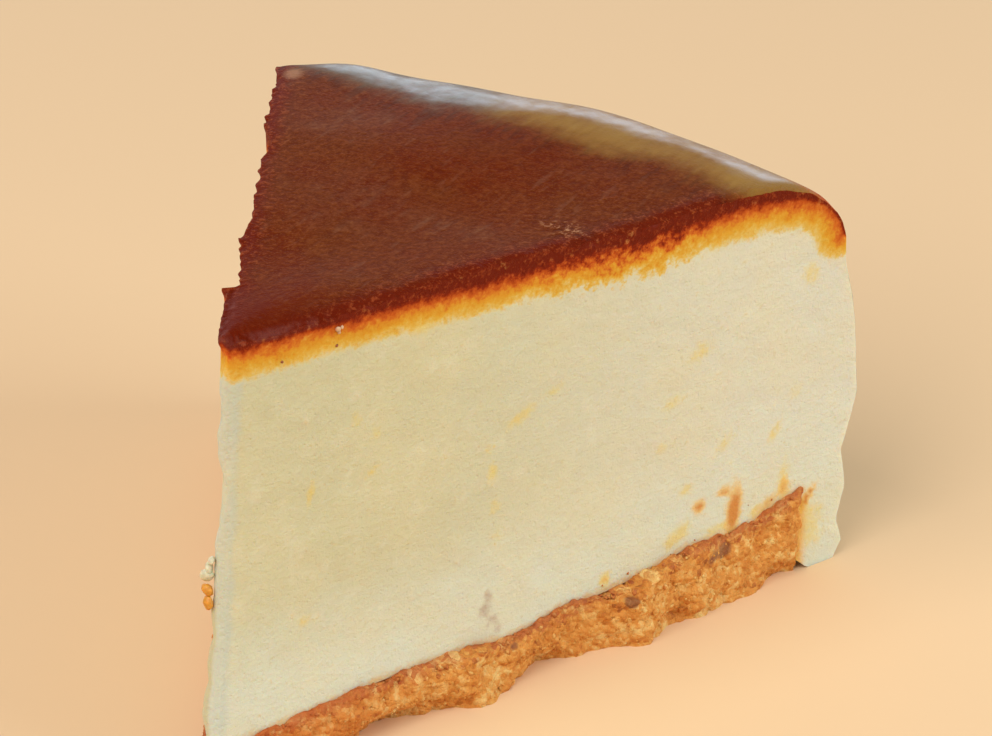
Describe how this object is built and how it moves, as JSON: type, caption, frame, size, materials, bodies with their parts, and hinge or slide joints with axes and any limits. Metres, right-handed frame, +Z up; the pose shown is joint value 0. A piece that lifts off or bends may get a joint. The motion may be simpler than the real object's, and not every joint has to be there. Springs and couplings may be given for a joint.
{
  "type": "cheesecake slice",
  "caption": "Tall wedge of baked cheesecake: pale filling with a browned, glossy top and a rounded outer shoulder, on a layer of pressed biscuit crumb.",
  "frame": {"origin": "middle of the slice's box, on the plane that it rests on", "axes": "+X runs along the slice's middle line from the tip to the rim, +Y to the far cut, +Z up"},
  "size_m": [0.1074, 0.089, 0.064],
  "materials": {
    "filling": "moist, fine-grained cream with a satin browned skin on top",
    "crumb": "rough pressed biscuit crumb"
  },
  "bodies": {
    "root": {"filling": "filling", "crumb_base": "crumb"}
  },
  "joints": []
}
